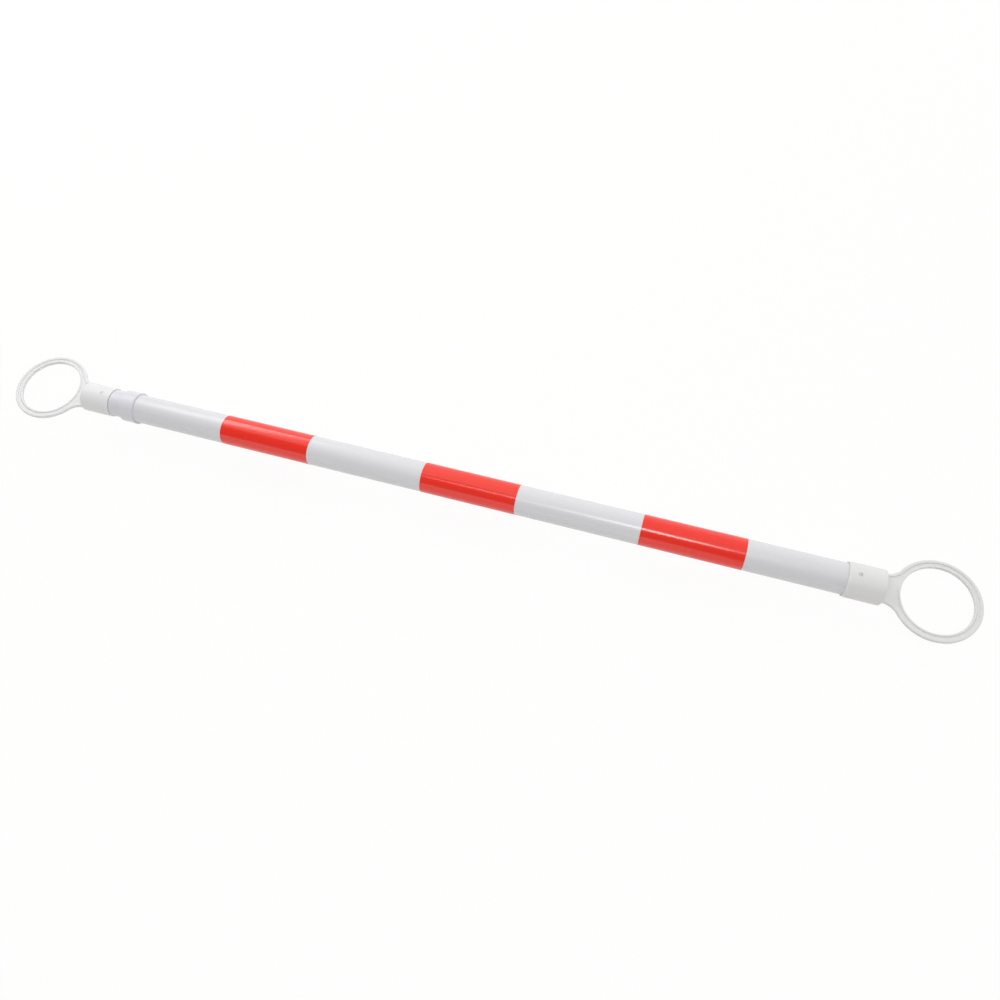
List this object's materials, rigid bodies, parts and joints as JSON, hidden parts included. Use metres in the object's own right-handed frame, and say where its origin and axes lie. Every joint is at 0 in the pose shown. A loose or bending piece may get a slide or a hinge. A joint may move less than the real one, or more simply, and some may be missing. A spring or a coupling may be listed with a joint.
{
  "type": "cone bar",
  "caption": "Retractable barrier bar for traffic cones: a banded tube that draws out in length, with a moulded ring at each end that drops over the top of a cone.",
  "frame": {"origin": "on the tube axis, midway between the two ring centres with the bar pushed in", "axes": "+X along the tubes towards the fixed ring, +Z square to the rings, through their holes"},
  "size_m": [1.15, 0.09, 0.0386],
  "materials": {
    "tube": "smooth glossy white plastic tube",
    "red_film": "glossy red self-adhesive film",
    "collar": "moulded white plastic with a faint blue cast",
    "ring_end": "moulded satin white plastic",
    "screw": "plated steel",
    "bush": "dark grey nylon",
    "rubber": "soft black rubber"
  },
  "bodies": {
    "outer": {"outer_tube": "tube", "red_band_left": "red_film", "red_band_middle": "red_film", "red_band_right": "red_film", "collar": "collar", "fixed_ring_end": "ring_end", "fixed_end_screw": "screw"},
    "grip": {"friction_ring": "rubber"},
    "inner": {"inner_tube": "tube", "sliding_ring_end": "ring_end", "sliding_end_screw": "screw", "stop_bush": "bush"}
  },
  "joints": [
    {"name": "tube_slide", "type": "slide", "parent": "outer", "child": "grip", "axis": [-1, 0, 0], "range_m": [0, 0.85]},
    {"name": "tube_twist", "type": "hinge", "parent": "grip", "child": "inner", "pos_m": [0, 0, 0], "axis": [-1, 0, 0], "continuous": true}
  ]
}
